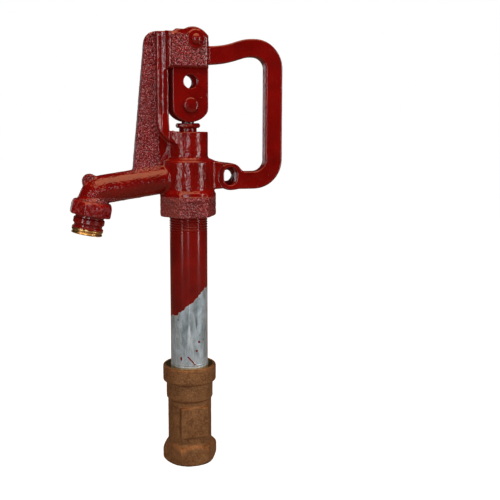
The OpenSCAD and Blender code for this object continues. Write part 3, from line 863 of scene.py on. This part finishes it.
LINK_PIN, LINK_PIN_R, LINK_PIN_HEAD_R = (0.0, 100.0), 4.0, 6.8
LINK_HALF_WIDE, LINK_FOOT, LINK_FOOT_R, LINK_SHOULDER = 15.7, (0.0, 103.0), 17.6, 132.6
LINK_HOLE, LINK_HOLE_R = (0.0, 120.0), 6.0
LINK_INNER, LINK_OUTER = 8.0, 12.0      # faces of the front and rear plates
ROD_R, STUD_R, ROD_EYE_R, ROD_EYE_HALF = 5.5, 3.42, 9.0, 7.5
GLAND_R, GLAND_ACROSS = 7.7, 20.2


def link(y0, y1):
    """Distance to the link plate between y0 and y1."""
    def sdf(x, y, z):
        body = box2(x, z, -LINK_HALF_WIDE, LINK_HALF_WIDE, 60, LINK_SHOULDER, 0.6)
        foot = np.where(z < LINK_FOOT[1], off_point(x, z, LINK_FOOT), np.abs(x)) - LINK_FOOT_R
        body = blend_max(body, foot, 1.4)
        finger = path_distance(x, z, [(LIFT_PIN[0], 126), LIFT_PIN]) - 3.9
        plate = slab(blend_min(body, finger, 1.0), y, y0, y1, 0.9)
        plate = cut(plate, off_point(x, z, LINK_HOLE) - LINK_HOLE_R, 0.7)
        plate = cut(plate, off_point(x, z, LINK_PIN) - LINK_PIN_R - 0.02, 0.0)
        return cut(plate, off_point(x, z, LIFT_PIN) - 2.52, 0.0)
    return sdf


def stamped(p, n):
    """Slight waves of a stamped plate."""
    return 0.07 * lattice_noise(p, 8.0, 12) + 0.02 * lattice_noise(p, 2.5, 13)


for side, y0, y1 in (("front", -LINK_OUTER, -LINK_INNER), ("rear", LINK_INNER, LINK_OUTER)):
    piece("link_plate_" + side, link(y0, y1), (-16, y0, 85), (16, y1, 150), 0.5, "link",
          ["link_" + side], ENAMEL, HEAD_Z, stamped)


def domed_pin(x, y, z, at, r, back, front, head_r, dome_r, top, under, edge, fillet):
    """Pin along -Y through at, from back to front, with a domed head from under to top."""
    t, off = -y, off_point(x, z, at)
    shank = slab(off - r, t, back, front, 0.4)
    dome = np.sqrt(off * off + (t - (top - dome_r)) ** 2) - dome_r
    head_part = blend_max(blend_max(dome, off - head_r, edge), under - t, 0.3)
    return blend_min(shank, head_part, fillet)


def link_pin(x, y, z):
    return domed_pin(x, y, z, LINK_PIN, LINK_PIN_R, back=-14.6, front=13.0,
                     head_r=LINK_PIN_HEAD_R, dome_r=26.0, top=14.7, under=12.02, edge=1.8,
                     fillet=0.3)


piece("link_pin_domed", link_pin, (-7, -15.2, 93), (7, 14.8, 107), 0.34, "link",
      ["link_pin"], ENAMEL, HEAD_Z)


def pivot_pin(x, y, z):
    return domed_pin(x, y, z, PIVOT, PIVOT_R, back=-22.0, front=20.0, head_r=4.5, dome_r=7.6,
                     top=21.3, under=18.75, edge=0.8, fillet=0.5)


piece("pivot_pin_domed", pivot_pin, (-2, -22, 150), (9, 22.2, 160), 0.3, "hydrant",
      ["pivot_pin"], ENAMEL, HEAD_Z)


def gland(x, y, z):
    """Packing nut: a plain barrel in the neck and a hexagonal flange."""
    off = np.sqrt(x * x + y * y)
    barrel = slab(off - GLAND_R, z, 72.1, 83.5, 0.4)
    flange = blend_max(hexagon(x, y, GLAND_ACROSS, 0, 1.6), between(z, 80.3, 84.5), 0.8)
    flange = blend_max(flange, (off - 10.6 + 0.9 * (np.abs(z - 82.4) - 1.2)) * 0.75, 0.8)
    return cut(blend_min(barrel, flange, 0.6), off - ROD_R - 0.08, 0.2)


piece("gland_nut", gland, (-12, -12, 72), (12, 12, 85), 0.36, "hydrant",
      ["packing_nut"], ENAMEL, HEAD_Z)


def eye_end(x, y, z):
    """Flat eye on a short stem, bored from below for the rod's end."""
    off = np.sqrt(x * x + y * y)
    stem_part = slab(off - ROD_R, z, 84.9, 93.5, 0.4)
    ring = tube(x, y, z, (0, -ROD_EYE_HALF, LINK_PIN[1]), (0, ROD_EYE_HALF, LINK_PIN[1]),
                ROD_EYE_R, 0.8)
    shape = cut(blend_min(stem_part, ring, 1.2), off_point(x, z, LINK_PIN) - 4.08, 0.2)
    return cut(shape, np.maximum(off - STUD_R, z - 91.1), 0.0)


piece("rod_eye_end", eye_end, (-9.2, -7.7, 84.6), (9.2, 7.7, 109.4), 0.42, "rod",
      ["rod_eye"], ENAMEL, HEAD_Z)


# ---- Riser pipe, as a turned tube with cut threads ----

def lathe_tube(name, rings, radius, inner, body, nodes, material, around=168):
    """A tube turned about Z: rings are heights in mm, radius(angle, height) is the outside."""
    angle = np.linspace(0, 2 * math.pi, around, endpoint=False)
    verts = []
    for h in rings:
        r = radius(angle, h)
        verts.append(np.stack([r * np.cos(angle), r * np.sin(angle), np.full(around, h)], 1))
    for h in (rings[-1], rings[0]):
        r = np.full(around, inner)
        verts.append(np.stack([r * np.cos(angle), r * np.sin(angle), np.full(around, h)], 1))
    n, rows = around, len(verts)
    index = np.arange(rows * n).reshape(rows, n)
    nxt = np.roll(index, -1, axis=1)
    quads = []
    for k in range(rows):
        m = (k + 1) % rows
        quads.append(np.stack([index[k], nxt[k], nxt[m], index[m]], 1))
    mesh = bpy.data.meshes.new(name)
    mesh.from_pydata(np.concatenate(verts) / 1000, [], np.concatenate(quads))
    smooth = np.ones(rows * n, bool)
    smooth[(rows - 3) * n:] = False
    mesh.polygons.foreach_set("use_smooth", smooth)
    mesh.update()
    return place(name, mesh, body, nodes, material)


PIPE_R, PIPE_BORE_R = 16.7, 13.3
THREAD_PITCH, THREAD_DEPTH = 2.209, 0.75
THREAD_ON_HEAD, THREAD_ON_VALVE = -11.0, 4.0    # where the threads run out on the plain pipe
RUN_OUT, PAST_THREAD = 3.0, 1.5
RING_FINE, RING_COARSE = 0.44, 3.0              # ring spacing on a thread and on the plain pipe


def pipe_radius(angle, h):
    """1 inch pipe with a taper thread at each end, which runs out on the plain pipe."""
    turns = (h / THREAD_PITCH + angle / (2 * math.pi)) % 1.0
    tooth = 1 - np.abs(2 * turns - 1)
    top = np.clip((h - (HEAD_Z + THREAD_ON_HEAD)) / RUN_OUT, 0, 1)
    low = np.clip((VALVE_TOP + THREAD_ON_VALVE - h) / RUN_OUT, 0, 1)
    return PIPE_R + max(top, low) * THREAD_DEPTH * (tooth - 0.62)


rings = list(np.arange(PIPE_LOW, VALVE_TOP + THREAD_ON_VALVE + PAST_THREAD, RING_FINE))
plain_top = HEAD_Z + THREAD_ON_HEAD - PAST_THREAD
rings += list(np.arange(rings[-1] + RING_COARSE, plain_top, RING_COARSE))
rings += list(np.arange(HEAD_Z - 11.8, PIPE_HIGH - 0.2, 0.4)) + [PIPE_HIGH]
lathe_tube("riser_tube", rings, pipe_radius, PIPE_BORE_R, "hydrant",
           ["riser_pipe"], PIPE)


# ---- Foot valve body ----

VALVE_ACROSS, INLET_R, INLET_DEEP = 44, 12.05, 17
BARREL_R, STEP_R, MOUTH_R = 19.75, 21.0, 24.0
THROAT_R, CHAMBER_R = 11.0, 15.0
DRAIN_H, DRAIN_BOSS_R, DRAIN_R, DRAIN_FACE = 64, 7.5, 4.3, 25


def valve(x, y, z):
    """Hexagon round the inlet, barrel, step, mouth for the pipe, pad and drain boss."""
    off = np.sqrt(x * x + y * y)
    base = blend_max(hexagon(x, y, VALVE_ACROSS, 30, 1.6), between(z, 0, 17.2), 1.2)
    base = blend_max(base, (off - 22.2 - 0.9 * z) * 0.74, 1.4)
    base = blend_max(base, (off - 20.8 - 0.95 * (18.4 - z)) * 0.72, 1.8)
    barrel = slab(off - BARREL_R, z, 1, 63, 0.8)
    step = slab(off - STEP_R, z, 59.3, 75.7, 1.4)
    mouth = slab(off - MOUTH_R, z, 75.2, 90, 1.6)
    shape = blend_min(blend_min(barrel, step, 1.6), mouth, 1.6)
    shape = blend_min(shape, base, 3.0)
    pad = slab(box2(x, z, -12.5, 12.5, 26, 54, 1.6), y, -20.6, -3.4, 0.7)
    shape = blend_min(shape, pad, 1.2)
    boss = tube(x, y, z, (0, 8, DRAIN_H), (0, DRAIN_FACE, DRAIN_H), DRAIN_BOSS_R, 0.8)
    shape = blend_min(shape, boss, 2.0)
    shape = cut(shape, np.maximum(off - INLET_R, z - INLET_DEEP), 0.9)
    shape = cut(shape, np.maximum(off - THROAT_R, z - 30), 0.2)
    shape = cut(shape, np.maximum(off - CHAMBER_R, between(z, 22, 73)), 0.2)
    shape = cut(shape, np.maximum(off - SOCKET_R, 70 - z), 0.5)
    shape = cut(shape, tube(x, y, z, (0, 10, DRAIN_H), (0, 30, DRAIN_H), 2.0, 0.0), 0.1)
    return cut(shape, tube(x, y, z, (0, 17.5, DRAIN_H), (0, 40, DRAIN_H), DRAIN_R, 0.0), 0.4)


def valve_marks(p, n):
    """Machined faces: both mouths, the chamber and the drain port."""
    x, y, z = p.T
    off = np.hypot(x, y)
    mouths = ((z < 0.5) & (off < 17)) | (off < 15.4) | ((z > 89.4) & (off < 21.5))
    port = (y > 24.6) | ((np.hypot(x, z - DRAIN_H) < 4.7) & (y > 16))
    return {"machined": np.where(mouths | port, 1.0, 0.0)}


def sand_bronze(p, n):
    """Lumps of the sand mould on the faces that were not machined."""
    rough = 1 - valve_marks(p, n)["machined"]
    return rough * (0.08 * lattice_noise(p, 6, 21) + 0.07 * lattice_noise(p, 1.9, 22))


piece("foot_valve_body", valve, (-26, -26, 0), (26, 26, 90), 0.6, "hydrant",
      ["valve_body"], BRONZE, 0.0, sand_bronze, valve_marks)


# ---- CAD nodes that keep their own shape ----

def dress(node, material):
    """Give a CAD node its material and soften its sharp edges."""
    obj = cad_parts[node]
    obj.data.materials.clear()
    obj.data.materials.append(material)
    bevel = obj.modifiers.new("edges", "BEVEL")
    bevel.width = 0.25 / 1000
    bevel.segments = 2
    bevel.limit_method = "ANGLE"
    bevel.angle_limit = math.radians(35)


for node, material in {
        "pivot_clip": STEEL, "link_pin_clip": STEEL, "lift_pin": STEEL, "pivot_spacers": STEEL,
        "lift_rod": STEEL, "seal_screw": STEEL, "packing_washer": BRASS, "valve_seat": BRASS,
        "plunger_nut": BRASS, "seal_washer": BRASS, "plunger_body": BRONZE,
        "packing_rings": GRAPHITE, "drain_seal": RUBBER, "plunger_seal": RUBBER,
        "rod_guide": NYLON}.items():
    dress(node, material)


# ---- Stage, light and camera ----

def area(name, at, target, size, power, colour):
    lamp = bpy.data.lights.new(name, "AREA")
    lamp.shape = "RECTANGLE"
    lamp.size, lamp.size_y = size
    lamp.energy = power
    lamp.color = colour
    obj = bpy.data.objects.new(name, lamp)
    obj.location = at
    obj.rotation_euler = (Vector(target) - Vector(at)).to_track_quat("-Z", "Y").to_euler()
    bpy.context.scene.collection.objects.link(obj)


MIDDLE, TARGET = (0, 0, 0.24), (0, 0, 0.26)     # of the hydrant, and where the lamps point


def around(azimuth, elevation, distance):
    """A place seen from the middle of the hydrant; azimuth 0 is towards -Y, + to the right."""
    a, e = math.radians(azimuth), math.radians(elevation)
    return (MIDDLE[0] + distance * math.sin(a) * math.cos(e),
            MIDDLE[1] - distance * math.cos(a) * math.cos(e),
            MIDDLE[2] + distance * math.sin(e))


# Three tall strips for the lines on the round parts, a warm box overhead and a faint rim
for name, place_at, size, power, colour in (
        ("front", (-16, 6, 1.6), (0.15, 0.8), 4.0, (0.86, 0.92, 1.0)),
        ("right", (50, 6, 1.3), (0.15, 0.8), 4.7, (1.0, 0.99, 0.97)),
        ("left", (-53, 5, 1.3), (0.16, 0.85), 3.2, (1.0, 0.97, 0.94)),
        ("top", (3, 72, 1.2), (1.5, 1.25), 22.0, (1.0, 0.55, 0.3)),
        ("rim", (-162, 4, 1.2), (0.2, 0.6), 0.5, (1.0, 0.9, 0.92))):
    area(name, around(*place_at), TARGET, size, power, colour)

FLOOR_HALF, FLOOR_GREY = 6.0, 0.3
SKY_SHOWN, SKY_LIGHT = 1.0, 0.025               # white behind the hydrant, but little light from it
CAMERA_AT = (-0.1575, -0.682, 0.307)
CAMERA_DIP, CAMERA_TURN = 0.13487, -0.27972     # radians below the horizon, and from +Y to the right
LENS, SENSOR, SHIFT = 57.0, 36, 0.04


def pale_floor():
    """Plain floor that looks white to the camera and lights the hydrant softly."""
    h = FLOOR_HALF
    mesh = bpy.data.meshes.new("floor")
    mesh.from_pydata([(-h, -h, 0), (h, -h, 0), (h, h, 0), (-h, h, 0)], [], [(0, 1, 2, 3)])
    ground = Shader("floor")
    to_camera = ground.add("ShaderNodeLightPath").outputs["Is Camera Ray"]
    mesh.materials.append(ground.set(
        Base_Color=(FLOOR_GREY, FLOOR_GREY, FLOOR_GREY, 1), Roughness=0.9,
        Specular_IOR_Level=0.0, Emission_Color=(1, 1, 1, 1), Emission_Strength=to_camera))
    floor = bpy.data.objects.new("floor", mesh)
    bpy.context.scene.collection.objects.link(floor)


def studio_world():
    """White where the camera sees it, nearly dark as a light."""
    world = bpy.data.worlds.new("studio")
    bpy.context.scene.world = world
    world.use_nodes = True
    tree = world.node_tree
    tree.nodes.clear()
    mix = tree.nodes.new("ShaderNodeMixShader")
    path = tree.nodes.new("ShaderNodeLightPath")
    tree.links.new(path.outputs["Is Camera Ray"], mix.inputs[0])
    for socket, strength in ((1, SKY_LIGHT), (2, SKY_SHOWN)):
        background = tree.nodes.new("ShaderNodeBackground")
        background.inputs["Color"].default_value = (1, 1, 1, 1)
        background.inputs["Strength"].default_value = strength
        tree.links.new(background.outputs[0], mix.inputs[socket])
    output = tree.nodes.new("ShaderNodeOutputWorld")
    tree.links.new(mix.outputs[0], output.inputs[0])


def main_camera():
    data = bpy.data.cameras.new("camera")
    data.lens = LENS
    data.sensor_width = SENSOR
    data.shift_x, data.shift_y = SHIFT, -SHIFT
    data.clip_start = 0.01
    camera = bpy.data.objects.new("camera", data)
    camera.location = CAMERA_AT
    camera.rotation_euler = (math.pi / 2 - CAMERA_DIP, 0, CAMERA_TURN)
    bpy.context.scene.collection.objects.link(camera)
    bpy.context.scene.camera = camera


pale_floor()
studio_world()
main_camera()
bpy.context.scene.view_settings.view_transform = "Standard"
